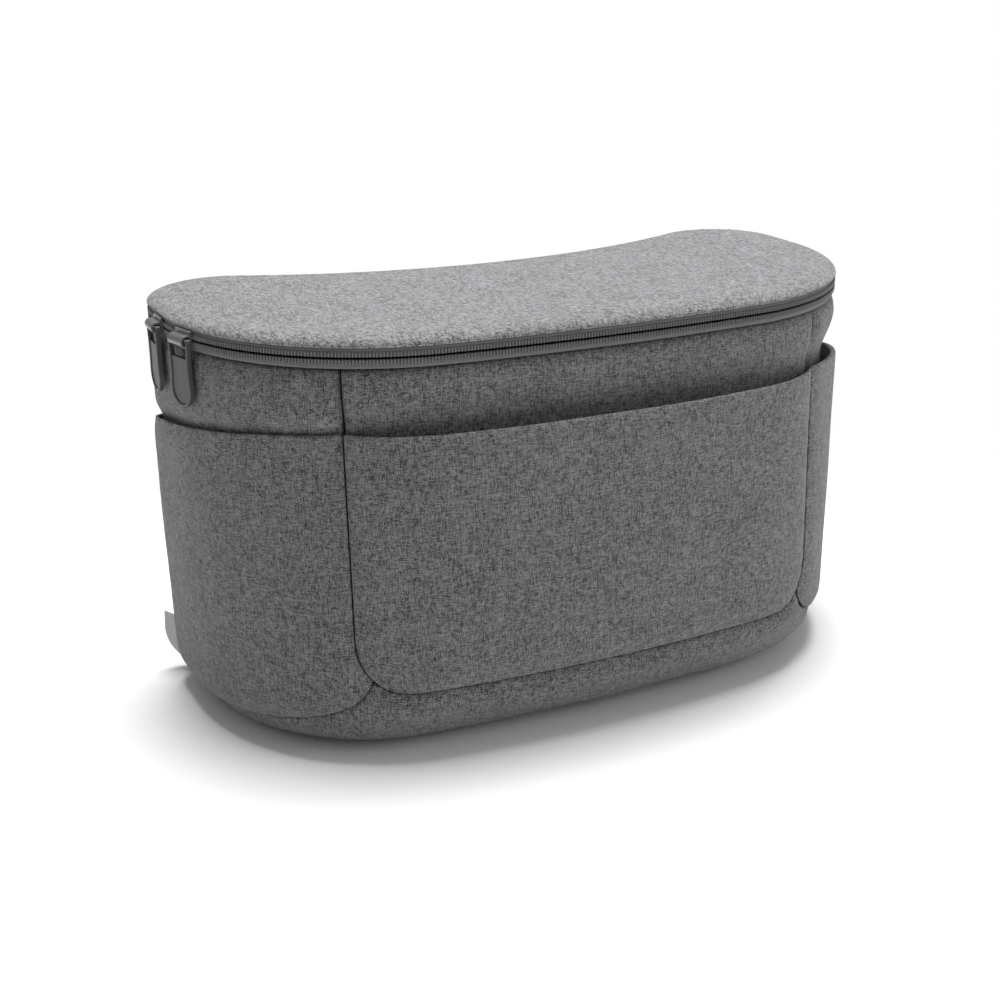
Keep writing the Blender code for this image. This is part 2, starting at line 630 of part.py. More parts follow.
def make_tab(look):
    """A folded label of plain tape, bare, held in the left back seam near the bottom."""
    bm = bmesh.new()
    radius = under_radius(BACK_SEAM_AT)
    straight = TAB_TOP - radius
    normal = plan_point(-BACK_SEAM_AT, 0.0)[1]
    outward = Vector((*(Matrix.Rotation(-TAB_TURN, 2) @ normal), 0.0))
    across = Vector((-outward.y, outward.x, 0.0)) * TAB_THICKNESS / 2
    turns = [(TAB_LENGTH - straight) / radius * k / TAB_BENDS for k in range(TAB_BENDS + 1)]
    rings = []
    for z in [TAB_TOP] + [radius * (1 - math.sin(turn)) for turn in turns]:
        root = body_point(-BACK_SEAM_AT, z, -TAB_CLEARANCE)
        tip = root + outward * TAB_REACH
        rings.append([bm.verts.new(p) for p in (root - across, root + across, tip + across, tip - across)])
    for above, below in zip(rings, rings[1:]):
        for i in range(4):
            j = (i + 1) % 4
            bm.faces.new((above[i], above[j], below[j], below[i]))
    bm.faces.new(rings[0])
    bm.faces.new(list(reversed(rings[-1])))
    return add_object("seam_tab", bm, look)


def centre_on_origin():
    """Moves everything so that the origin is at the middle of the bounding box's bottom."""
    bpy.context.view_layer.update()
    parts = [o for o in bpy.context.scene.objects if o.type == "MESH"]
    corners = [o.matrix_world @ v.co for o in parts for v in o.data.vertices]
    middle_x = (min(c.x for c in corners) + max(c.x for c in corners)) / 2
    middle_y = (min(c.y for c in corners) + max(c.y for c in corners)) / 2
    for made in parts:
        made.matrix_world = Matrix.Translation((-middle_x, -middle_y, 0)) @ made.matrix_world


for old in list(bpy.data.objects):
    bpy.data.objects.remove(old)

body_look = (FABRIC, 0.92)
make_body(body_look)
make_pockets(body_look)
make_lining(((0.10, 0.10, 0.105), 0.85))
make_lid((LID_FABRIC, 0.92))
make_zip(((0.13, 0.128, 0.13), 0.8), ((0.16, 0.16, 0.165), 0.45))
make_sliders(((0.20, 0.20, 0.205), 0.40, 1.0), (TRIM, 0.5))
make_straps(((0.09, 0.09, 0.092), 0.85))
make_tab(((0.36, 0.36, 0.37), 0.8))
centre_on_origin()
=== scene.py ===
"""Looks of the stroller organizer: cloth panels, zip, pull tabs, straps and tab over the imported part."""
import math

import bmesh
import bpy
from mathutils import Matrix, Vector, noise


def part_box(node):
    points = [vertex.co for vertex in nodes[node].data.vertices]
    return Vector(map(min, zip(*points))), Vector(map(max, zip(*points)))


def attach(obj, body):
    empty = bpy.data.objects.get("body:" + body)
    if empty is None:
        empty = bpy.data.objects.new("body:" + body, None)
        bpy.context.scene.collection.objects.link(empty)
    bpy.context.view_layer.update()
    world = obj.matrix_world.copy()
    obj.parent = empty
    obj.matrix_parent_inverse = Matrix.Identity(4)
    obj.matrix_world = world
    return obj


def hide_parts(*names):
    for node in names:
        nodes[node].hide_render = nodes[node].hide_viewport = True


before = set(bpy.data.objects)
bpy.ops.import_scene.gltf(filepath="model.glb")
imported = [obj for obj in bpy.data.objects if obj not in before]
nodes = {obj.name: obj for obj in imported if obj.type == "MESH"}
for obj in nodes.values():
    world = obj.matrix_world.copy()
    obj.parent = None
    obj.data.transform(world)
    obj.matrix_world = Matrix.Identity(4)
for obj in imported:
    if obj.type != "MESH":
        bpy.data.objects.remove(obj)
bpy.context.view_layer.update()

# Camera: stands in front of the bag's left corner and a little above it, as the photograph's did.
# Its angle, distance and lens were fitted to the picture, and the small shift frames the bag alike.
CAMERA_AZIMUTH = math.radians(-26.85)
CAMERA_PITCH = math.radians(20.6)
CAMERA_DISTANCE = 0.680
CAMERA_TARGET_HEIGHT = 0.0734
CAMERA_NEAR = 0.01
FOCAL_OVER_WIDTH = 1.576
SHIFT_X, SHIFT_Y = -0.045, 0.012
SENSOR = 36.0
HALF_WIDTH = 0.1500
DEPTH_AT_MIDDLE = 0.1170

lid_low, lid_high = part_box("lid_panel")
SHIFT = Vector(((lid_low[0] + lid_high[0]) / 2, lid_low[1] + DEPTH_AT_MIDDLE / 2, 0.0))

scene = bpy.context.scene
scene.view_settings.view_transform = "Standard"
back = Vector((math.sin(CAMERA_AZIMUTH) * math.cos(CAMERA_PITCH),
               -math.cos(CAMERA_AZIMUTH) * math.cos(CAMERA_PITCH), math.sin(CAMERA_PITCH)))
right = Vector((math.cos(CAMERA_AZIMUTH), math.sin(CAMERA_AZIMUTH), 0.0))
up = back.cross(right)
eye = SHIFT + Vector((0.0, 0.0, CAMERA_TARGET_HEIGHT)) + back * CAMERA_DISTANCE
camera_data = bpy.data.cameras.new("camera")
camera_data.sensor_width = SENSOR
camera_data.lens = FOCAL_OVER_WIDTH * SENSOR
camera_data.shift_x, camera_data.shift_y = SHIFT_X, SHIFT_Y
camera_data.dof.use_dof = False
camera_data.clip_start = CAMERA_NEAR
camera = bpy.data.objects.new("camera", camera_data)
camera.matrix_world = Matrix(((right.x, up.x, back.x, eye.x), (right.y, up.y, back.y, eye.y),
                              (right.z, up.z, back.z, eye.z), (0, 0, 0, 1)))
scene.collection.objects.link(camera)
scene.camera = camera

# Front wall: a padded panel of melange cloth over foam, sewn to the side walls at two upright seams,
# to the gusset below and to the zip's tape above. It lies deeper behind the pocket, below the hem.


class Value:
    """A shader socket with arithmetic, so that a pattern reads as a formula."""

    def __init__(self, tree, socket):
        self.tree, self.socket = tree, socket

    def math(self, operation, *others):
        node = self.tree.nodes.new("ShaderNodeMath")
        node.operation = operation
        for i, value in enumerate((self, *others)):
            if isinstance(value, Value):
                self.tree.links.new(value.socket, node.inputs[i])
            else:
                node.inputs[i].default_value = value
        return Value(self.tree, node.outputs[0])

    def constant(self, number):
        node = self.tree.nodes.new("ShaderNodeValue")
        node.outputs[0].default_value = number
        return Value(self.tree, node.outputs[0])

    def __add__(self, other):
        return self.math("ADD", other)

    def __sub__(self, other):
        return self.math("SUBTRACT", other)

    def __mul__(self, other):
        return self.math("MULTIPLY", other)

    def __truediv__(self, other):
        return self.math("DIVIDE", other)

    def __rsub__(self, other):
        return self.constant(other).math("SUBTRACT", self)

    def floor(self):
        return self.math("FLOOR")

    def fract(self):
        return self.math("FRACT")

    def sin(self):
        return self.math("SINE")

    def clamp(self):
        return self.math("MAXIMUM", 0.0).math("MINIMUM", 1.0)

    def mod(self, number):
        return self.math("FLOORED_MODULO", number)


class Look:
    """A Principled material that is built up with Value formulas."""

    def __init__(self, name, roughness, metallic=0.0, sheen=0.0):
        self.material = bpy.data.materials.new(name)
        self.material.use_nodes = True
        self.tree = self.material.node_tree
        self.shader = self.tree.nodes["Principled BSDF"]
        self.shader.inputs["Roughness"].default_value = roughness
        self.shader.inputs["Metallic"].default_value = metallic
        self.shader.inputs["Sheen Weight"].default_value = sheen
        self.shader.inputs["Sheen Roughness"].default_value = 0.6

    def coordinates(self, kind="UV"):
        source = self.tree.nodes.new("ShaderNodeTexCoord").outputs[kind]
        split = self.tree.nodes.new("ShaderNodeSeparateXYZ")
        self.tree.links.new(source, split.inputs[0])
        return [Value(self.tree, split.outputs[i]) for i in range(3)]

    def point(self, *parts):
        node = self.tree.nodes.new("ShaderNodeCombineXYZ")
        for i, part in enumerate(parts):
            if isinstance(part, Value):
                self.tree.links.new(part.socket, node.inputs[i])
            else:
                node.inputs[i].default_value = part
        return node.outputs[0]

    def noise(self, place, scale, detail=2.0, roughness=0.5):
        node = self.tree.nodes.new("ShaderNodeTexNoise")
        self.tree.links.new(place, node.inputs["Vector"])
        node.inputs["Scale"].default_value = scale
        node.inputs["Detail"].default_value = detail
        node.inputs["Roughness"].default_value = roughness
        return Value(self.tree, node.outputs["Fac"])

    def white(self, place):
        node = self.tree.nodes.new("ShaderNodeTexWhiteNoise")
        self.tree.links.new(place, node.inputs["Vector"])
        return Value(self.tree, node.outputs["Value"])

    def blend(self, factor, first, second):
        node = self.tree.nodes.new("ShaderNodeMix")
        node.data_type = "RGBA"
        self.tree.links.new(factor.socket, node.inputs["Factor"])
        for i, colour in ((6, first), (7, second)):
            node.inputs[i].default_value = (*colour, 1.0)
        return node.outputs[2]

    def colour(self, socket):
        self.tree.links.new(socket, self.shader.inputs["Base Color"])

    def rough(self, value):
        self.tree.links.new(value.socket, self.shader.inputs["Roughness"])

    def bump(self, height, depth, strength):
        node = self.tree.nodes.new("ShaderNodeBump")
        node.inputs["Strength"].default_value = strength
        node.inputs["Distance"].default_value = depth
        self.tree.links.new(height.socket, node.inputs["Height"])
        self.tree.links.new(node.outputs["Normal"], self.shader.inputs["Normal"])


# How melange yarn varies: along a thread, between threads, between crossings and in wide patches.
YARN_WIDTH = 0.00044
STREAK = 0.15
PATCH_SCALE = 0.020
WARP_STEP, WARP_PLANE, WEFT_STEP, WEFT_PLANE = 7.31, 1.7, 5.17, 9.2
YARN_DETAIL, YARN_ROUGHNESS = 2.0, 0.6
YARN_CONTRAST, CROSSING_CONTRAST, PATCH_CONTRAST, SIDE_CONTRAST = 3.9, 0.5, 0.25, 0.12
WEAVE_RELIEF = 0.00009


def woven(name, yarn, dark, light):
    """Melange cloth on UV in metres: plain weave, each thread with its own tone that drifts along it."""
    look = Look(name, 0.92, sheen=0.15)
    u, v, _ = look.coordinates()
    u, v = u / yarn, v / yarn
    across, along = u.floor(), v.floor()
    over = (across + along).mod(2.0).math("LESS_THAN", 0.5)
    warp = look.noise(look.point(across * WARP_STEP, v * STREAK, WARP_PLANE), 1.0, YARN_DETAIL, YARN_ROUGHNESS)
    weft = look.noise(look.point(u * STREAK, along * WEFT_STEP, WEFT_PLANE), 1.0, YARN_DETAIL, YARN_ROUGHNESS)
    crossing = look.white(look.point(across, along, 0.0))
    tone = over * warp + (1.0 - over) * weft
    patch = look.noise(look.point(u, v, 0.0), PATCH_SCALE, 2.0)
    tone = (tone - 0.5) * YARN_CONTRAST + (crossing - 0.5) * CROSSING_CONTRAST
    tone = tone + (patch - 0.5) * PATCH_CONTRAST + (over - 0.5) * SIDE_CONTRAST
    tone = (tone + 0.5).clamp()
    look.colour(look.blend(tone, dark, light))
    ridge_u = (u.fract() * math.pi).sin()
    ridge_v = (v.fract() * math.pi).sin()
    height = over * ridge_u * (ridge_v * 0.5 + 0.5) + (1.0 - over) * ridge_v * (ridge_u * 0.5 + 0.5)
    look.bump(height, WEAVE_RELIEF, 0.6)
    return look.material


BODY_CLOTH = woven("body_cloth", YARN_WIDTH, (0.018, 0.017, 0.018), (0.205, 0.197, 0.207))

# The bag's own shape: a plan outline of tangent arcs that rounds under at the bottom. It repeats the part's
# sizes. s runs along the outline from the middle of the front, to the right where it is positive.
FRONT_BOW_RADIUS, FRONT_CORNER_RADIUS = 0.700, 0.090
BACK_HOLLOW_RADIUS, BACK_CORNER_RADIUS, SMALLEST_CORNER = 0.247, 0.032, 0.004
UNDER_RADIUS_FRONT, UNDER_RADIUS_SIDE, UNDER_RADIUS_BACK = 0.036, 0.018, 0.024
BELLY_SLOPE = 0.040
BODY_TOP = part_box("front_wall")[1][2]
WALL, GAP = 0.0080, 0.0003


def outline_at(inset):
    """Centres, radii and turns of the outline's arcs, this far inside the bag's outer face."""
    front_y = -DEPTH_AT_MIDDLE / 2
    hollow_y = DEPTH_AT_MIDDLE / 2 + BACK_HOLLOW_RADIUS
    corner = Vector((HALF_WIDTH - FRONT_CORNER_RADIUS, 0.0))
    reach = FRONT_BOW_RADIUS - FRONT_CORNER_RADIUS
    corner.y = front_y + FRONT_BOW_RADIUS - math.sqrt(reach ** 2 - corner.x ** 2)
    front_turn = math.asin(corner.x / reach)
    back_radius = max(BACK_CORNER_RADIUS - inset, SMALLEST_CORNER)
    rear = Vector((HALF_WIDTH - inset - back_radius, 0.0))
    reach = BACK_HOLLOW_RADIUS + inset + back_radius
    rear.y = hollow_y - math.sqrt(reach ** 2 - rear.x ** 2)
    hollow_turn = math.asin(rear.x / reach)
    return {"front_centre": Vector((0.0, front_y + FRONT_BOW_RADIUS)), "front_turn": front_turn,
            "front_radius": FRONT_BOW_RADIUS - inset, "corner": corner,
            "corner_radius": FRONT_CORNER_RADIUS - inset, "rear": rear, "rear_radius": back_radius,
            "hollow_centre": Vector((0.0, hollow_y)), "hollow_turn": hollow_turn,
            "hollow_radius": BACK_HOLLOW_RADIUS + inset, "side_x": HALF_WIDTH - inset}


base = outline_at(0.0)
LENGTHS = [base["front_radius"] * base["front_turn"],
           base["corner_radius"] * (math.pi / 2 - base["front_turn"]),
           base["rear"].y - base["corner"].y,
           base["rear_radius"] * (math.pi / 2 + base["hollow_turn"]),
           base["hollow_radius"] * base["hollow_turn"]]
ENDS = [sum(LENGTHS[:i]) for i in range(6)]
HALF_LENGTH = ENDS[5]


def plan_point(s, inset):
    """The outline's point and outward direction at s, this far inside the outer face."""
    s = (s + HALF_LENGTH) % (2 * HALF_LENGTH) - HALF_LENGTH
    side = 1.0 if s >= 0 else -1.0
    along = min(abs(s), HALF_LENGTH)
    shape = outline_at(inset)
    stretch = max(i for i in range(5) if along >= ENDS[i])
    part = (along - ENDS[stretch]) / LENGTHS[stretch]
    facing = 1.0
    if stretch == 0:
        angle = -math.pi / 2 + part * shape["front_turn"]
        centre, radius = shape["front_centre"], shape["front_radius"]
    elif stretch == 1:
        angle = (1 - part) * (shape["front_turn"] - math.pi / 2)
        centre, radius = shape["corner"], shape["corner_radius"]
    elif stretch == 2:
        angle, radius = 0.0, 0.0
        centre = Vector((shape["side_x"], shape["corner"].y + part * (shape["rear"].y - shape["corner"].y)))
    elif stretch == 3:
        angle = part * (math.pi / 2 + shape["hollow_turn"])
        centre, radius = shape["rear"], shape["rear_radius"]
    else:
        angle = -math.pi / 2 + (1 - part) * shape["hollow_turn"]
        centre, radius = shape["hollow_centre"], shape["hollow_radius"]
        facing = -1.0
    ray = Vector((math.cos(angle), math.sin(angle)))
    point, normal = centre + ray * radius, ray * facing
    return Vector((side * point.x, point.y)), Vector((side * normal.x, normal.y))


def under_radius(s):
    """Radius by which the bag rounds under at s, from the front's to the sides' to the back's."""
    along = abs((s + HALF_LENGTH) % (2 * HALF_LENGTH) - HALF_LENGTH)
    marks = [(ENDS[0], UNDER_RADIUS_FRONT), (ENDS[1], UNDER_RADIUS_FRONT), (ENDS[2], UNDER_RADIUS_SIDE),
             (ENDS[3], UNDER_RADIUS_SIDE), (ENDS[4], UNDER_RADIUS_BACK), (ENDS[5], UNDER_RADIUS_BACK)]
    for (start, first), (end, last) in zip(marks, marks[1:]):
        if along <= end:
            return first + (last - first) * (along - start) / (end - start)
    return UNDER_RADIUS_BACK


def ramp(value, low, high):
    """0 below low, 1 above high, and a smooth rise between them."""
    part = min(max((value - low) / (high - low), 0.0), 1.0)
    return part * part * (3 - 2 * part)


def body_point(s, z, depth):
    """The place on the bag at s and height z, this deep inside its outer face."""
    radius = under_radius(s)
    lean = math.asin(min(max((radius - z) / radius, 0.0), 1.0))
    inset = radius * (1 - math.cos(lean)) + depth * math.cos(lean)
    point, normal = plan_point(s, inset)
    point.y -= BELLY_SLOPE * (BODY_TOP - min(z, BODY_TOP)) * max(0.0, -normal.y)
    return SHIFT + Vector((point.x, point.y, z + depth * math.sin(lean)))


# The gusset's seam: level below the front pocket, up round its lower corners, then falling along the sides.
FRONT_SEAM_AT, FRONT_SEAM_HEIGHT, POCKET_CORNER_RADIUS = 0.1080, 0.0300, 0.022
CORNER_DIP, CORNER_DIP_LENGTH = 0.0094, 0.005
SIDE_FALL, SIDE_FALL_LENGTH = 0.0235, 0.050


def seam_height(s):
    along = abs(s)
    arc_start = FRONT_SEAM_AT - POCKET_CORNER_RADIUS
    arc_end = arc_start + POCKET_CORNER_RADIUS * math.sin(math.pi / 4)
    if along <= arc_end:
        over = max(along - arc_start, 0.0)
        return FRONT_SEAM_HEIGHT + POCKET_CORNER_RADIUS - math.sqrt(POCKET_CORNER_RADIUS ** 2 - over ** 2)
    peak = FRONT_SEAM_HEIGHT + POCKET_CORNER_RADIUS * (1 - math.cos(math.pi / 4))
    past = along - arc_end
    corner_dip = CORNER_DIP * (1 - math.exp(-past / CORNER_DIP_LENGTH))
    return peak - corner_dip - SIDE_FALL * (1 - math.exp(-past / SIDE_FALL_LENGTH))


def above_seam(s):
    return seam_height(s) + GAP


# A panel's border of (s, z) is cut into small cells, given two faces and laid on the bag's shape.
# Near a sewn edge its outer face turns in, and small puckers and slow waves keep it from looking pressed.
CELL = 0.0030
CUT_TOLERANCE = 0.00002
KEY_DIGITS = 6
PUCKER_REACH, PUCKER_RATE, PUCKER_SCATTER, PUCKER_GRAIN = 0.012, 620.0, 3.0, 40
WAVE_GRAIN, WAVE_SEED_STEP = 22, 5.0


def steps(low, high, spacing):
    """Evenly spaced places between two ends, without the ends."""
    count = max(1, math.ceil((high - low) / spacing))
    return [low + (high - low) * k / count for k in range(1, count)]


def border_between(start, end, lower, upper, spacing=0.004):
    """The closed border of a panel between two heights that are functions of s."""
    line = [start] + steps(start, end, spacing) + [end]
    return [(s, lower(s)) for s in line] + [(s, upper(s)) for s in reversed(line)]


def level(height):
    return lambda s: height


def constant(value):
    return lambda s, z: value


def all_sewn(first, second):
    return False


def edge_distance(point, border, free_edges):
    """Distance from a point to the nearest sewn edge of the border."""
    best = 1.0
    for (start, end), is_free in zip(zip(border, border[1:] + border[:1]), free_edges):
        if is_free:
            continue
        ax, az = start
        bx, bz = end[0] - ax, end[1] - az
        length = bx * bx + bz * bz
        part = 0.0
        if length > 0:
            part = min(max(((point[0] - ax) * bx + (point[1] - az) * bz) / length, 0.0), 1.0)
        best = min(best, math.hypot(point[0] - ax - part * bx, point[1] - az - part * bz))
    return best


def add_piece(name, mesh, look, replaced, body="bag", levels=0):
    """Turns a mesh into a piece that rides on a body and takes the place of CAD nodes."""
    data = bpy.data.meshes.new(name)
    mesh.to_mesh(data)
    mesh.free()
    data.materials.append(look)
    data.shade_smooth()
    made = bpy.data.objects.new(name, data)
    scene.collection.objects.link(made)
    if levels:
        rounding = made.modifiers.new("rounding", "SUBSURF")
        rounding.levels = rounding.render_levels = levels
    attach(made, body)
    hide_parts(*replaced)
    return made


def cloth_panel(name, border, depth, thickness, look, replaced, dip=0.0021, reach=0.0075, wave=0.0007,
                pucker=0.00026, is_free=all_sewn, cell=CELL, seed=0.0, levels=1):
    """One sewn panel: depth and thickness are functions of s and z, and its edges turn in by dip."""
    mesh = bmesh.new()
    mesh.faces.new([mesh.verts.new((s, 0.0, z)) for s, z in border])
    low_s, high_s = min(p[0] for p in border), max(p[0] for p in border)
    low_z, high_z = min(p[1] for p in border), max(p[1] for p in border)
    rim = min(cell, reach / 3)
    places_s = steps(low_s, high_s, cell) + [low_s + rim, high_s - rim]
    places_z = steps(low_z, high_z, cell) + [low_z + rim, high_z - rim]
    cuts_s = sorted({round(s, KEY_DIGITS) for s in places_s})
    cuts_z = sorted({round(z, KEY_DIGITS) for z in places_z})
    cuts = [((s, 0, 0), (1, 0, 0)) for s in cuts_s] + [((0, 0, z), (0, 0, 1)) for z in cuts_z]
    for place, direction in cuts:
        bmesh.ops.bisect_plane(mesh, geom=mesh.verts[:] + mesh.edges[:] + mesh.faces[:], dist=CUT_TOLERANCE,
                               plane_co=place, plane_no=direction)
    grown = bmesh.ops.extrude_face_region(mesh, geom=mesh.faces[:])
    inner = {element for element in grown["geom"] if isinstance(element, bmesh.types.BMVert)}
    uv = mesh.loops.layers.uv.new("cloth")
    for face in mesh.faces:
        for loop in face.loops:
            loop[uv].uv = (loop.vert.co.x, loop.vert.co.z)
    free_edges = [is_free(a, b) for a, b in zip(border, border[1:] + border[:1])]
    dents = {}
    for vert in mesh.verts:
        s, z = vert.co.x, vert.co.z
        key = (round(s, KEY_DIGITS), round(z, KEY_DIGITS))
        if key not in dents:
            away = edge_distance((s, z), border, free_edges)
            turn = dip * (1 - ramp(away, 0.0, reach)) ** 2
            tight = math.exp(-away / PUCKER_REACH)
            scatter = noise.noise(Vector((s * PUCKER_GRAIN, z * PUCKER_GRAIN, seed)))
            ripple = pucker * tight * math.sin((s + z) * PUCKER_RATE + PUCKER_SCATTER * scatter)
            sway = noise.noise(Vector((s * WAVE_GRAIN, z * WAVE_GRAIN, seed + WAVE_SEED_STEP)))
            dents[key] = turn + ripple + wave * sway * (1 - tight)
        if vert in inner:
            vert.co = body_point(s, z, depth(s, z) + thickness(s, z))
        else:
            vert.co = body_point(s, z, depth(s, z) + dents[key])
    bmesh.ops.recalc_face_normals(mesh, faces=mesh.faces)
    return add_piece(name, mesh, look, replaced, levels=levels)


HEM_BELOW_TOP, HEM_CROWN = 0.0246, 0.0008
HEM_AT_SEAM = BODY_TOP - HEM_BELOW_TOP
HEM_AT_MIDDLE = HEM_AT_SEAM + HEM_CROWN
RISE_START = 0.0004
FRONT_RECESS, FRONT_RISE = 0.0026, 0.0140
SEAM = GAP / 2


def front_wall_depth(s, z):
    start = HEM_AT_MIDDLE + RISE_START
    return FRONT_RECESS * (1 - ramp(z, start, start + FRONT_RISE))


def front_wall_thickness(s, z):
    return WALL - front_wall_depth(s, z)


front_border = border_between(-FRONT_SEAM_AT + SEAM, FRONT_SEAM_AT - SEAM, above_seam, level(BODY_TOP))
front_wall = cloth_panel("front_wall_cloth", front_border, front_wall_depth, front_wall_thickness,
                         BODY_CLOTH, ["front_wall"], seed=1.0)

# Side walls: padded panels of the same cloth that run round the front corners to the back seams.
# The zip's pull draws the left one flush above its hem, and the right one stays pinched further up.
BACK_SEAM_ANGLE = math.radians(30.0)
BACK_SEAM_AT = ENDS[3] + BACK_CORNER_RADIUS * BACK_SEAM_ANGLE
SIDE_HEM_SLOPE, SIDE_HEM_CURVE = 0.05, 0.6
LEFT_RECESS, RIGHT_RECESS = 0.0027, 0.0050
LEFT_RISE, RIGHT_RISE = 0.0050, 0.0190


def side_hem(s):
    past = abs(s) - FRONT_SEAM_AT
    return HEM_AT_SEAM - SIDE_HEM_SLOPE * past - SIDE_HEM_CURVE * past ** 2


def side_wall_depth(s, z):
    start = side_hem(s) + RISE_START
    recess, rise = (LEFT_RECESS, LEFT_RISE) if s < 0 else (RIGHT_RECESS, RIGHT_RISE)
    return recess * (1 - ramp(z, start, start + rise))


def side_wall_thickness(s, z):
    return WALL - side_wall_depth(s, z)


for label, sign in (("left", -1), ("right", 1)):
    ends = sorted((sign * (FRONT_SEAM_AT + SEAM), sign * (BACK_SEAM_AT - SEAM)))
    side_wall = cloth_panel("side_wall_cloth_" + label, border_between(*ends, above_seam, level(BODY_TOP)),
                            side_wall_depth, side_wall_thickness, BODY_CLOTH,
                            ["side_wall_" + label], seed=2.0 + sign)

# Back panel: one padded hollow panel from the floor to the lid, sewn in the back corners.
# The lid is sewn to its top edge, and that seam is the lid's hinge.
LID_SEAM = lid_low[2]
back_border = border_between(BACK_SEAM_AT + SEAM, 2 * HALF_LENGTH - BACK_SEAM_AT - SEAM, level(0.0),
                             level(LID_SEAM - GAP))
back_panel = cloth_panel("back_cloth", back_border, constant(0.0), constant(WALL),
                         BODY_CLOTH, ["back_panel"], seed=4.0)

# Bottom gusset: one padded strip round the front and sides that curves under the bag.
# It is sewn to the walls and pockets along the seam that peaks at the front pocket's lower corners.
GUSSET_SPACING = 0.003


def is_on_floor(first, second):
    return first[1] == 0.0 and second[1] == 0.0


gusset_border = border_between(-BACK_SEAM_AT + SEAM, BACK_SEAM_AT - SEAM, level(0.0), seam_height,
                               GUSSET_SPACING)
gusset = cloth_panel("gusset_cloth", gusset_border, constant(0.0), constant(WALL),
                     BODY_CLOTH, ["bottom_gusset"], seed=5.0, is_free=is_on_floor)

# Front pocket: a single unpadded panel with round lower corners, sewn on at its sides and bottom.
# Its hem is free and stands off the wall.
FRONT_GAPE, FRONT_BELLY, POCKET_CLOTH = 0.0078, 0.0048, 0.0020
HEM_FLOOR, UPRIGHT_RUN, HEM_SPACING, CORNER_STEPS = 0.13, 0.0002, 0.008, 10


def front_hem(s):
    return HEM_AT_SEAM + (HEM_AT_MIDDLE - HEM_AT_SEAM) * (1 - (s / FRONT_SEAM_AT) ** 2)


def front_pocket_depth(s, z):
    across = 1 - (s / FRONT_SEAM_AT) ** 4
    height = min(max((z - FRONT_SEAM_HEIGHT) / (HEM_AT_SEAM - FRONT_SEAM_HEIGHT), 0.0), 1.0)
    belly = FRONT_BELLY * math.sin(math.pi * min(height, 0.5))
    gape = (FRONT_GAPE - FRONT_BELLY) * ramp(height, 0.5, 1.0)
    return GAP - across * (belly + gape)


def is_hem(first, second):
    return min(first[1], second[1]) > HEM_FLOOR and abs(first[0] - second[0]) > UPRIGHT_RUN


edge = FRONT_SEAM_AT - SEAM
low_edge = FRONT_SEAM_HEIGHT + GAP
turns = [math.radians(90 * k / CORNER_STEPS) for k in range(CORNER_STEPS + 1)]
round_corner = [(edge - POCKET_CORNER_RADIUS * (1 - math.sin(turn)),
                 low_edge + POCKET_CORNER_RADIUS * (1 - math.cos(turn))) for turn in turns]
top_line = [edge] + steps(-edge, edge, HEM_SPACING)[::-1] + [-edge]
border = round_corner + [(s, front_hem(s)) for s in top_line] + [(-s, z) for s, z in reversed(round_corner)]
cloth_panel("front_pocket_cloth", border, front_pocket_depth, constant(POCKET_CLOTH),
            BODY_CLOTH, ["front_pocket"], dip=0.0016, reach=0.010, wave=0.0012, seed=6.0, is_free=is_hem)

# Side pockets: single unpadded panels round the front corners, sewn on at their sides and bottom.
# Their hems are free, fall towards the back and stand off the walls.
LEFT_GAPE, RIGHT_GAPE = 0.0022, 0.0052
GAPE_START_HEIGHT = 0.0110
BEND_STEPS, SIDE_SPACING, DIP_END = 5, 0.006, 0.012
DIP_STEPS = (0.001, 0.002, 0.0035, 0.005, 0.0075, 0.010)


def side_pocket_depth(gape):
    def depth(s, z):
        middle = (ENDS[2] + ENDS[3]) / 2
        reach = abs(abs(s) - middle) / (middle - FRONT_SEAM_AT)
        across = max(0.0, 1 - reach ** 2) ** 2
        if abs(s) > middle:
            across = max(0.0, 1 - ((abs(s) - middle) / (BACK_SEAM_AT - middle)) ** 4)
        height = min(max((z - GAPE_START_HEIGHT) / (side_hem(s) - GAPE_START_HEIGHT), 0.0), 1.0)
        return GAP - gape * across * math.sin(math.pi / 2 * height)
    return depth


for label, sign, gape in (("left", -1, LEFT_GAPE), ("right", 1, RIGHT_GAPE)):
    inner_s, outer_s = FRONT_SEAM_AT + SEAM, BACK_SEAM_AT - SEAM
    bends = [math.radians(45 + 45 * k / BEND_STEPS) for k in range(BEND_STEPS + 1)]
    centre_s, centre_z = FRONT_SEAM_AT - POCKET_CORNER_RADIUS, FRONT_SEAM_HEIGHT + POCKET_CORNER_RADIUS
    arc_radius = POCKET_CORNER_RADIUS + SEAM
    arc_side = [(centre_s + arc_radius * math.sin(a), centre_z - arc_radius * math.cos(a)) for a in bends]
    start_s = arc_side[0][0]
    lower = [start_s + step for step in DIP_STEPS]
    lower += steps(start_s + DIP_END, outer_s, SIDE_SPACING) + [outer_s]
    border = [(s, above_seam(s)) for s in reversed(lower)] + arc_side[:-1] + [(inner_s, arc_side[-1][1])]
    border += [(s, side_hem(s)) for s in [inner_s] + steps(inner_s, outer_s, SIDE_SPACING) + [outer_s]]
    border = [(sign * s, z) for s, z in border]
    cloth_panel("side_pocket_cloth_" + label, border, side_pocket_depth(gape), constant(POCKET_CLOTH),
                BODY_CLOTH, ["side_pocket_" + label], dip=0.0012, reach=0.008, wave=0.0008,
                seed=8.0 + sign, is_free=is_hem)

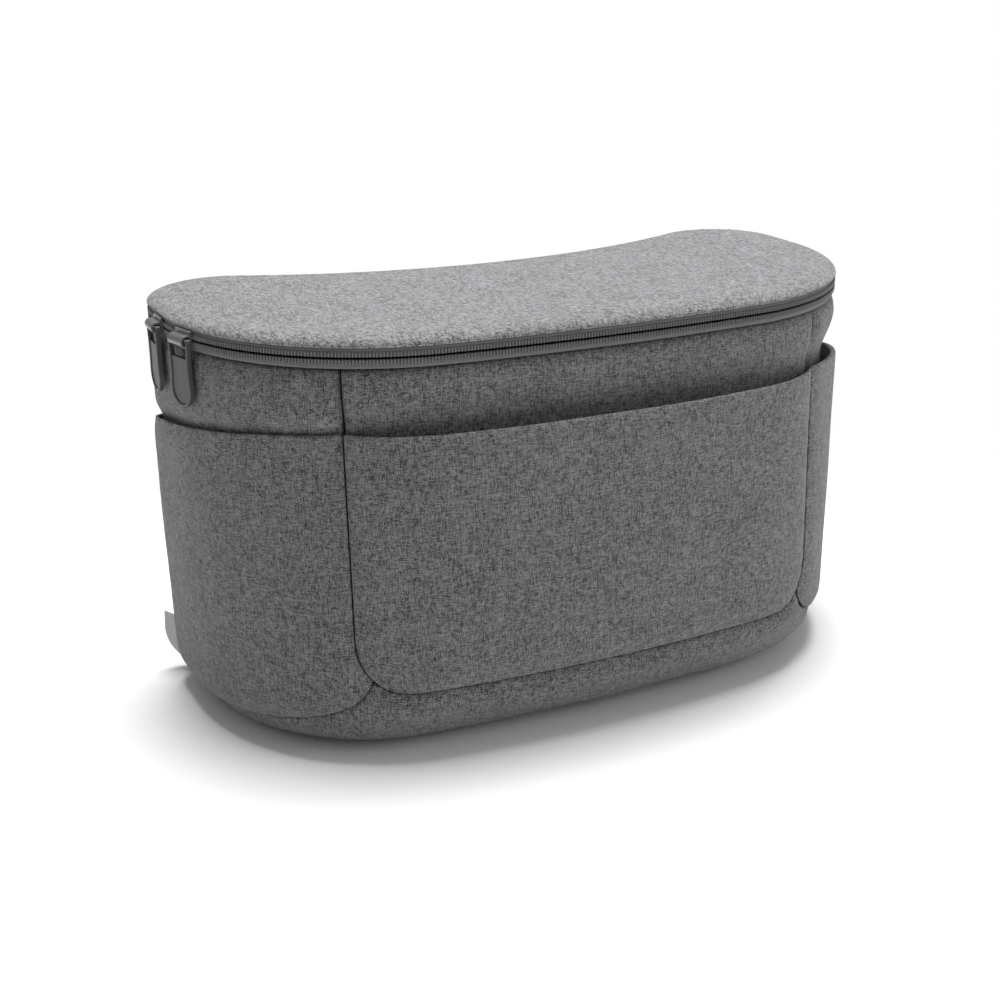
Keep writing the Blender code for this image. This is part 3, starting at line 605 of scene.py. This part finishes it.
# Lid: a padded kidney-shaped panel of the walls' melange, its colour painted lighter as painted light on the
# top, sewn to the upper zip tape and to the back.
# Rings along the outline make its soft rounded edge, and the field between them is slightly crowned.
# Painted light: the walls' melange with a lighter colour, standing in for the brighter light that falls on the
# top.
LID_CLOTH_PAINTED_LIGHTER = woven("lid_cloth_painted_lighter", YARN_WIDTH, (0.026, 0.025, 0.027), (0.315, 0.307, 0.318))
LID_STEPS, LID_ROLL_STEP = 260, 9
LID_EDGE_ROLL, LID_EDGE_RISE, LID_ROLL_FROM = 0.0085, 0.0036, 0.0004
LID_RINGS = [(0.0008, -0.0002), (0.0003, 0.0001)]
for degrees in range(0, 91, LID_ROLL_STEP):
    lean = math.radians(degrees)
    LID_RINGS.append((LID_EDGE_ROLL * (1 - math.cos(lean)), LID_ROLL_FROM + LID_EDGE_RISE * math.sin(lean)))
LID_FIELD = LID_SEAM + LID_RINGS[-1][1]
LID_FIELD_TOLERANCE = 0.0001
LID_CROWN, LID_END_RISE, LID_RIM_FADE = 0.0012, 0.0022, 0.016
LID_MEAN, LID_SWING, LID_DENT_GRAIN, LID_SEED = 0.4, 1.1, 16, 3.0
LID_RISE_FROM, LID_RISE_TO = -0.02, 0.05
LID_HALF_DEPTH = 0.060


def lid_height(point, rim_points):
    """Crown of the lid: slow dents, and back corners that stand a little higher, fading out at its rim."""
    ends = (point.x / HALF_WIDTH) ** 2 * ramp(point.y, LID_RISE_FROM, LID_RISE_TO)
    sway = noise.noise(Vector((point.x * LID_DENT_GRAIN, point.y * LID_DENT_GRAIN, LID_SEED)))
    dents = LID_CROWN * (LID_MEAN + LID_SWING * sway)
    rim = min((point.xy - place).length_squared for place in rim_points) ** 0.5
    return (dents + LID_END_RISE * ends) * ramp(rim, 0.0, LID_RIM_FADE)


def make_lid():
    mesh = bmesh.new()
    around = [-HALF_LENGTH + 2 * HALF_LENGTH * k / LID_STEPS for k in range(LID_STEPS)]
    loops = []
    for inset, rise in LID_RINGS:
        ring = [plan_point(s, inset)[0] for s in around]
        loops.append([mesh.verts.new(SHIFT + Vector((p.x, p.y, LID_SEAM + rise))) for p in ring])
    for lower_loop, upper_loop in zip(loops, loops[1:]):
        for i in range(LID_STEPS):
            j = (i + 1) % LID_STEPS
            mesh.faces.new((lower_loop[i], lower_loop[j], upper_loop[j], upper_loop[i]))
    mesh.faces.new(list(reversed(loops[0])))
    mesh.faces.new(loops[-1])
    cuts = [((place, 0, 0), (1, 0, 0)) for place in steps(-HALF_WIDTH, HALF_WIDTH, CELL)]
    cuts += [((0, place, 0), (0, 1, 0)) for place in steps(-HALF_WIDTH, HALF_WIDTH, CELL)]
    for place, direction in cuts:
        top = [f for f in mesh.faces if f.calc_center_median().z > LID_FIELD - LID_FIELD_TOLERANCE]
        top_edges = list(dict.fromkeys(e for f in top for e in f.edges))
        top_verts = list(dict.fromkeys(v for f in top for v in f.verts))
        bmesh.ops.bisect_plane(mesh, geom=top + top_edges + top_verts, dist=CUT_TOLERANCE, plane_co=place,
                               plane_no=direction)
    rim = {vert for loop in loops for vert in loop}
    rim_points = [vert.co.xy.copy() for vert in loops[-1]]
    for vert in mesh.verts:
        if vert not in rim:
            vert.co.z += lid_height(vert.co, rim_points)
    uv = mesh.loops.layers.uv.new("cloth")
    for face in mesh.faces:
        for loop in face.loops:
            place = loop.vert.co
            drop = LID_FIELD - place.z
            loop[uv].uv = (place.x * (1 + drop / HALF_WIDTH), place.y * (1 + drop / LID_HALF_DEPTH))
    bmesh.ops.recalc_face_normals(mesh, faces=mesh.faces)
    return add_piece("lid_cloth_panel", mesh, LID_CLOTH_PAINTED_LIGHTER, ["lid_panel"])


make_lid()

# Zip tapes: two strips of ribbed nylon tape round the front and sides, one sewn under the lid's edge
# and one on the walls' top edge. A slot between them is closed by the two rows of coil.
ZIP_CENTRE = (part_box("zip_teeth_upper")[0][2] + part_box("zip_teeth_lower")[1][2]) / 2
ZIP_END = BACK_SEAM_AT - GAP
ZIP_SLOT = 0.0010
TAPE_INSET, TAPE_THICKNESS, TAPE_CELL, TAPE_RIB = 0.0008, 0.0008, 0.004, 0.0007
FIBRE_ACROSS, FIBRE_ALONG, WEBBING_RELIEF = 3000.0, 900.0, 0.00015


def webbing(name, dark, light, rib=0.0011):
    """Ribbed tape on UV in metres, with its ribs along V, and painted shade in the grooves between its ribs.
    """
    look = Look(name, 0.85, sheen=0.1)
    u, v, _ = look.coordinates()
    rib_height = ((u / rib).fract() * math.pi).sin()
    cross_height = ((v / (rib * 0.8) + (u / rib).floor() * 0.5).fract() * math.pi).sin()
    fibre = look.noise(look.point(u * FIBRE_ACROSS, v * FIBRE_ALONG, 0.0), 1.0, 2.0)
    # Painted shade and painted highlight: the colour is darker in the grooves and lighter on the crests of the
    # ribs and crossings; the fibre noise is the yarn's own tone.
    tone = (rib_height * 0.35 + cross_height * 0.35 + fibre * 0.5 - 0.15).clamp()
    look.colour(look.blend(tone, dark, light))
    look.bump(rib_height * 0.6 + cross_height * 0.4, WEBBING_RELIEF, 0.7)
    return look.material


TAPE_CLOTH = webbing("zip_tape_cloth", (0.075, 0.073, 0.076), (0.150, 0.147, 0.151), rib=TAPE_RIB)
for label, sign in (("upper", 1), ("lower", -1)):
    root = LID_SEAM - GAP if sign > 0 else BODY_TOP + GAP
    tip = ZIP_CENTRE + sign * ZIP_SLOT / 2
    tape_border = border_between(-ZIP_END, ZIP_END, level(min(root, tip)), level(max(root, tip)), TAPE_CELL)
    cloth_panel("zip_tape_cloth_" + label, tape_border, constant(TAPE_INSET), constant(TAPE_THICKNESS),
                TAPE_CLOTH, ["zip_tape_" + label], dip=0.0, pucker=0.0, wave=0.0,
                cell=TAPE_CELL, levels=0)

# Zip coil: two rows of nylon loops, each sewn along a tape's edge, which the sliders mesh.
# A node tree repeats one loop along the outline at the zip's pitch.
COIL_PITCH, COIL_WIDTH, COIL_HEIGHT, COIL_DEPTH = 0.00125, 0.00085, 0.0018, 0.0010
COIL_SIDES, COIL_INSET, COIL_PATH_STEP = 8, 0.0006, 0.002
GRAIN_SCALE, CLOUD_SCALE, GRAIN_RELIEF = 1800.0, 90.0, 0.00003


def moulded(name, low, high, roughness, metallic=0.0):
    """Rubber, lacquer or plastic: a fine grain in colour, gloss and relief."""
    look = Look(name, roughness, metallic)
    place = look.point(*look.coordinates("Object"))
    fleck = look.noise(place, GRAIN_SCALE, 3.0)
    cloud = look.noise(place, CLOUD_SCALE, 2.0)
    look.colour(look.blend((fleck * 0.5 + cloud * 0.5).clamp(), low, high))
    look.rough((cloud - 0.5) * 0.25 + roughness)
    look.bump(fleck, GRAIN_RELIEF, 0.4)
    return look.material


def coil_row_tree():
    """Repeats one coil loop along the path it is given, turned along it, and makes it real."""
    tree = bpy.data.node_groups.new("coil_row", "GeometryNodeTree")
    tree.interface.new_socket("Path", in_out="INPUT", socket_type="NodeSocketGeometry")
    for label in ("Pitch", "Width", "Height", "Depth"):
        tree.interface.new_socket(label, in_out="INPUT", socket_type="NodeSocketFloat")
    tree.interface.new_socket("Material", in_out="INPUT", socket_type="NodeSocketMaterial")
    tree.interface.new_socket("Coil", in_out="OUTPUT", socket_type="NodeSocketGeometry")

    def node(kind, **settings):
        made = tree.nodes.new(kind)
        for key, value in settings.items():
            setattr(made, key, value)
        return made

    def link(source, target):
        tree.links.new(source, target)

    start, end = node("NodeGroupInput"), node("NodeGroupOutput")
    curve = node("GeometryNodeMeshToCurve")
    link(start.outputs["Path"], curve.inputs[0])
    points = node("GeometryNodeCurveToPoints", mode="LENGTH")
    link(curve.outputs[0], points.inputs["Curve"])
    link(start.outputs["Pitch"], points.inputs["Length"])
    coil = node("GeometryNodeMeshCylinder")
    coil.inputs["Vertices"].default_value = COIL_SIDES
    coil.inputs["Radius"].default_value = 0.5
    coil.inputs["Depth"].default_value = 1.0
    size = node("ShaderNodeCombineXYZ")
    link(start.outputs["Depth"], size.inputs[0])
    link(start.outputs["Width"], size.inputs[1])
    link(start.outputs["Height"], size.inputs[2])
    turned = node("FunctionNodeAlignRotationToVector", axis="Y")
    link(points.outputs["Tangent"], turned.inputs["Vector"])
    placed = node("GeometryNodeInstanceOnPoints")
    link(points.outputs["Points"], placed.inputs["Points"])
    link(coil.outputs["Mesh"], placed.inputs["Instance"])
    link(turned.outputs["Rotation"], placed.inputs["Rotation"])
    link(size.outputs[0], placed.inputs["Scale"])
    real = node("GeometryNodeRealizeInstances")
    link(placed.outputs[0], real.inputs[0])
    painted = node("GeometryNodeSetMaterial")
    link(real.outputs[0], painted.inputs["Geometry"])
    link(start.outputs["Material"], painted.inputs["Material"])
    link(painted.outputs[0], end.inputs["Coil"])
    return tree


def run_tree(name, mesh, tree, values, replaced):
    """Runs a node tree on a mesh and keeps its result as a plain piece of the bag."""
    data = bpy.data.meshes.new(name)
    mesh.to_mesh(data)
    mesh.free()
    source = bpy.data.objects.new(name + "_path", data)
    scene.collection.objects.link(source)
    modifier = source.modifiers.new("repeat", "NODES")
    modifier.node_group = tree
    keys = {item.name: item.identifier for item in tree.interface.items_tree if item.in_out == "INPUT"}
    for label, value in values.items():
        modifier[keys[label]] = value
    graph = bpy.context.evaluated_depsgraph_get()
    result = bpy.data.meshes.new_from_object(source.evaluated_get(graph))
    bpy.data.objects.remove(source)
    result.name = name
    made = bpy.data.objects.new(name, result)
    scene.collection.objects.link(made)
    if not result.materials:
        result.materials.append(values["Material"])
    result.shade_smooth()
    result.set_sharp_from_angle(angle=math.radians(50))
    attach(made, "bag")
    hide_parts(*replaced)


COIL = moulded("coil_nylon", (0.095, 0.094, 0.096), (0.155, 0.153, 0.157), 0.45)
coil_tree = coil_row_tree()
coil_values = {"Pitch": COIL_PITCH, "Width": COIL_WIDTH, "Height": COIL_HEIGHT, "Depth": COIL_DEPTH,
               "Material": COIL}
for label, sign in (("upper", 1), ("lower", -1)):
    path = bmesh.new()
    row_z = ZIP_CENTRE + sign * (ZIP_SLOT + COIL_HEIGHT) / 2
    path_steps = [-ZIP_END] + steps(-ZIP_END, ZIP_END, COIL_PATH_STEP) + [ZIP_END]
    line = [path.verts.new(body_point(s, row_z, COIL_INSET)) for s in path_steps]
    for first, second in zip(line, line[1:]):
        path.edges.new((first, second))
    run_tree("zip_coil_" + label, path, coil_tree, coil_values, ["zip_teeth_" + label])

# Sliders: two cast sliders in dark lacquer that run on the coil, each with a crown that holds its
# pull's bar. They are the CAD solids with their edges eased.
LACQUER = moulded("slider_lacquer", (0.12, 0.12, 0.122), (0.17, 0.17, 0.173), 0.34, 0.35)
SLIDER_EASE = 0.00022
MERGE_DISTANCE = 0.00001
FLAT_ANGLE, EASE_ANGLE, SHARP_ANGLE = math.radians(3), math.radians(40), math.radians(60)


def eased(made, width, segments=3):
    """Rounds a piece's edges with a bevel."""
    rounding = made.modifiers.new("eased", "BEVEL")
    rounding.width = width
    rounding.segments = segments
    rounding.limit_method = "ANGLE"
    rounding.angle_limit = EASE_ANGLE
    made.data.set_sharp_from_angle(angle=SHARP_ANGLE)


def merged_copy(node):
    """A CAD node's mesh with its loose triangles joined and its flat faces made one."""
    mesh = bmesh.new()
    mesh.from_mesh(nodes[node].data)
    bmesh.ops.remove_doubles(mesh, verts=mesh.verts, dist=MERGE_DISTANCE)
    bmesh.ops.dissolve_limit(mesh, angle_limit=FLAT_ANGLE, verts=mesh.verts, edges=mesh.edges)
    return mesh


for label in ("rear", "front"):
    node, body = "slider_" + label, label + "_slider"
    slider = add_piece(node + "_finish", merged_copy(node), LACQUER, [node], body)
    eased(slider, SLIDER_EASE)

# Straps: two loops of ribbed nylon webbing, sewn to the back, that a handlebar or its strap goes through.
# They are the CAD solids with soft edges and the webbing's own pattern.
STRAP_CLOTH = webbing("strap_cloth", (0.035, 0.034, 0.036), (0.11, 0.108, 0.112))
STRAP_EASE = 0.00045
for node in ("strap_left", "strap_right"):
    mesh = merged_copy(node)
    uv = mesh.loops.layers.uv.new("cloth")
    for face in mesh.faces:
        for loop in face.loops:
            loop[uv].uv = (loop.vert.co.x, loop.vert.co.z + loop.vert.co.y)
    eased(add_piece(node + "_finish", mesh, STRAP_CLOTH, [node]), STRAP_EASE)

# Pull tabs: soft moulded rubber tabs with a raised rim all round and a thinner middle.
# Each hangs by a bar in its window from a slider's crown, and turns on that bar.
RUBBER = moulded("pull_rubber", (0.040, 0.040, 0.042), (0.056, 0.055, 0.058), 0.48)
PULL_WIDTH, PULL_WAIST, PULL_REACH = 0.0146, 0.0134, 0.0262
PULL_RIM, PULL_WEB, PULL_RIM_WIDTH = 0.0021, 0.0012, 0.0012
WAIST_AT, SHOULDER_LOW, SHOULDER_HIGH, HEAD_CHAMFER, HEAD_TOP = 0.72, -0.0030, -0.0004, 0.0007, 0.0009
WEB_INSET, WEB_GAP = PULL_RIM_WIDTH * 0.6, 0.0002
WINDOW_REACH, BAR_RADIUS, BAR_SIDES = 0.0066, 0.0009, 16
REAR_SETBACK, FRONT_SLIDER_ANGLE = 0.0022, math.radians(15.1)
PULL_LIFT, PULL_EASE = 0.0025, 0.0003


def pull_outline(inset):
    """Half-round foot, slight waist and a shouldered head, as (x, z) round the bar at the origin."""
    radius = PULL_WIDTH / 2 - inset
    centre = -(PULL_REACH - PULL_WIDTH / 2)
    foot = [math.radians(degrees) for degrees in range(0, 91, 9)]
    half = [(radius * math.sin(a), centre - radius * math.cos(a)) for a in foot]
    half += [(PULL_WAIST / 2 - inset, centre * WAIST_AT), (PULL_WAIST / 2 - inset, -WINDOW_REACH),
             (radius, SHOULDER_LOW), (radius, SHOULDER_HIGH), (radius - HEAD_CHAMFER, HEAD_TOP)]
    return half + [(-x, z) for x, z in reversed(half[1:])]


def plate(mesh, outline, low, high):
    """A flat plate with this outline, between two depths."""
    face = mesh.faces.new([mesh.verts.new((x, low, z)) for x, z in outline])
    grown = bmesh.ops.extrude_face_region(mesh, geom=[face])
    for element in grown["geom"]:
        if isinstance(element, bmesh.types.BMVert):
            element.co.y = high


def rim_frame(mesh, outer, inner, low, high):
    """A closed frame between two outlines with as many points each."""
    rings = [[mesh.verts.new((x, y, z)) for x, z in line] for y in (low, high) for line in (outer, inner)]
    low_outer, low_inner, high_outer, high_inner = rings
    for first, second in ((low_outer, high_outer), (high_outer, high_inner), (high_inner, low_inner),
                          (low_inner, low_outer)):
        for i in range(len(first)):
            j = (i + 1) % len(first)
            mesh.faces.new((first[i], first[j], second[j], second[i]))


rear_place = -(ENDS[2] + REAR_SETBACK)
front_place = -(ENDS[2] - FRONT_CORNER_RADIUS * FRONT_SLIDER_ANGLE)
for label, place in (("rear", rear_place), ("front", front_place)):
    spot, normal = plan_point(place, 0.0)
    across = Vector((-normal.y, normal.x))
    spot = spot + normal * PULL_LIFT
    hung = Matrix(((across.x, normal.x, 0, spot.x + SHIFT.x), (across.y, normal.y, 0, spot.y + SHIFT.y),
                   (0, 0, 1, ZIP_CENTRE), (0, 0, 0, 1)))
    mesh = bmesh.new()
    rim_frame(mesh, pull_outline(0.0), pull_outline(PULL_RIM_WIDTH), -PULL_RIM / 2, PULL_RIM / 2)
    web = [(x, z) for x, z in pull_outline(WEB_INSET) if z < -WINDOW_REACH - WEB_GAP]
    half_web = [point for point in web if point[0] >= 0] + [(PULL_WAIST / 2 - WEB_INSET, -WINDOW_REACH)]
    plate(mesh, half_web + [(-x, z) for x, z in reversed(half_web[1:])], -PULL_WEB / 2, PULL_WEB / 2)
    bmesh.ops.create_cone(mesh, cap_ends=True, segments=BAR_SIDES, radius1=BAR_RADIUS, radius2=BAR_RADIUS,
                          depth=PULL_WIDTH - PULL_RIM_WIDTH, matrix=Matrix.Rotation(math.pi / 2, 4, "Y"))
    bmesh.ops.recalc_face_normals(mesh, faces=mesh.faces)
    mesh.transform(hung)
    pull = add_piece("pull_tab_" + label, mesh, RUBBER, ["puller_" + label], label + "_puller")
    eased(pull, PULL_EASE)

# Seam tab: a folded ribbon in pale grey, bare, held in the left back seam.
# It follows the seam as that rounds under, and curls slightly along its free edge.
TAB_CLOTH = webbing("tab_cloth", (0.30, 0.30, 0.305), (0.50, 0.50, 0.505), rib=0.0005)
TAB_TOP, TAB_LENGTH, TAB_REACH, TAB_THICKNESS = 0.0265, 0.027, 0.0088, 0.0007
TAB_TURN, TAB_STEPS, TAB_CURL, TAB_STAND_OUT = math.radians(36.0), 14, 0.0007, 0.0004
TAB_EASE = 0.00015
TAB_SECTION = ((0, -1), (0, 1), (0.5, 1), (1, 1), (1, -1), (0.5, -1))
radius = under_radius(-BACK_SEAM_AT)
straight = TAB_TOP - radius
normal = plan_point(-BACK_SEAM_AT, 0.0)[1]
outward = Vector((*(Matrix.Rotation(-TAB_TURN, 2) @ normal), 0.0))
sideways = Vector((-outward.y, outward.x, 0.0))
mesh = bmesh.new()
uv = mesh.loops.layers.uv.new("cloth")
rings = []
places = {}
for k in range(TAB_STEPS + 1):
    run = TAB_LENGTH * k / TAB_STEPS
    z = TAB_TOP - run if run < straight else radius * (1 - math.sin((run - straight) / radius))
    root = body_point(-BACK_SEAM_AT, z, -TAB_STAND_OUT)
    ring = []
    for reach, side in TAB_SECTION:
        curl = TAB_CURL * math.sin(math.pi * k / TAB_STEPS) * reach ** 2
        aside = sideways * (side * TAB_THICKNESS / 2 + curl)
        vert = mesh.verts.new(root + outward * TAB_REACH * reach + aside)
        places[vert] = (reach * TAB_REACH, run)
        ring.append(vert)
    rings.append(ring)
for above, below in zip(rings, rings[1:]):
    for i in range(len(above)):
        j = (i + 1) % len(above)
        mesh.faces.new((above[i], above[j], below[j], below[i]))
mesh.faces.new(rings[0])
mesh.faces.new(list(reversed(rings[-1])))
for face in mesh.faces:
    for loop in face.loops:
        loop[uv].uv = places[loop.vert]
bmesh.ops.recalc_face_normals(mesh, faces=mesh.faces)
eased(add_piece("seam_tab_cloth", mesh, TAB_CLOTH, ["seam_tab"]), TAB_EASE, 2)

# Lining, stiffener board and bottom panel: the thin lining inside, and the board under it that keeps the
# bottom flat. The CAD solids are right as they are, so they get a finish only.
LINING_CLOTH = woven("lining_cloth", 0.00060, (0.03, 0.03, 0.032), (0.07, 0.07, 0.074))
for node, look in (("lining", LINING_CLOTH), ("base_board", LINING_CLOTH), ("bottom_panel", BODY_CLOTH)):
    for material_slot in nodes[node].material_slots:
        material_slot.material = look

# Floor: a wide white studio floor that takes the shadow near the bag.
# Further out the camera sees it fade to plain white.
FLOOR_SIZE, FLOOR_WHITE = 30.0, 0.95
FADE_START, FADE_LENGTH = 0.16, 0.16
floor_mesh = bmesh.new()
bmesh.ops.create_grid(floor_mesh, x_segments=1, y_segments=1, size=FLOOR_SIZE)
floor_data = bpy.data.meshes.new("floor")
floor_mesh.to_mesh(floor_data)
floor_mesh.free()
floor = bpy.data.objects.new("floor", floor_data)
scene.collection.objects.link(floor)
floor_look = Look("floor_white", 1.0)
floor_look.shader.inputs["Base Color"].default_value = (FLOOR_WHITE, FLOOR_WHITE, FLOOR_WHITE, 1.0)
floor_look.shader.inputs["Specular IOR Level"].default_value = 0.0
floor_nodes, floor_links = floor_look.tree.nodes, floor_look.tree.links
floor_x, floor_y, _ = floor_look.coordinates("Object")
distance = (floor_x * floor_x + floor_y * floor_y).math("SQRT")
far = ((distance - FADE_START) / FADE_LENGTH).clamp()
seen = Value(floor_look.tree, floor_nodes.new("ShaderNodeLightPath").outputs["Is Camera Ray"])
white = floor_nodes.new("ShaderNodeEmission")
fade = floor_nodes.new("ShaderNodeMixShader")
floor_links.new((far * seen).socket, fade.inputs[0])
floor_links.new(floor_look.shader.outputs[0], fade.inputs[1])
floor_links.new(white.outputs[0], fade.inputs[2])
floor_links.new(fade.outputs[0], floor_nodes["Material Output"].inputs["Surface"])
floor.data.materials.append(floor_look.material)

# Light: a dim even sky, a large soft lamp above and a weaker one at the front right.
# The camera sees a bright backdrop in place of the sky.
SKY, BACKDROP = 0.40, 1.05
MOST_BOUNCES, SURFACE_BOUNCES = 4, 2
scene.cycles.max_bounces = MOST_BOUNCES
scene.cycles.diffuse_bounces = SURFACE_BOUNCES
scene.cycles.glossy_bounces = SURFACE_BOUNCES
world = bpy.data.worlds.new("studio")
world.use_nodes = True
scene.world = world
tree = world.node_tree
tree.nodes.clear()
paths = tree.nodes.new("ShaderNodeLightPath")
sky = tree.nodes.new("ShaderNodeBackground")
sky.inputs["Strength"].default_value = SKY
backdrop = tree.nodes.new("ShaderNodeBackground")
backdrop.inputs["Strength"].default_value = BACKDROP
mixer = tree.nodes.new("ShaderNodeMixShader")
output = tree.nodes.new("ShaderNodeOutputWorld")
tree.links.new(paths.outputs["Is Camera Ray"], mixer.inputs[0])
tree.links.new(sky.outputs[0], mixer.inputs[1])
tree.links.new(backdrop.outputs[0], mixer.inputs[2])
tree.links.new(mixer.outputs[0], output.inputs["Surface"])
LAMP_TARGET = Vector((0.0, 0.0, 0.1))


def softbox(name, spot, size, power):
    data = bpy.data.lights.new(name, "AREA")
    data.shape = "DISK"
    data.size = size
    data.energy = power
    lamp = bpy.data.objects.new(name, data)
    direction = LAMP_TARGET - Vector(spot)
    lamp.matrix_world = Matrix.Translation(spot) @ direction.to_track_quat("-Z", "Y").to_matrix().to_4x4()
    scene.collection.objects.link(lamp)


softbox("top_light", spot=(0.12, 0.20, 1.60), size=1.0, power=39.0)
softbox("front_light", spot=(1.5, -1.3, 0.8), size=1.2, power=9.0)
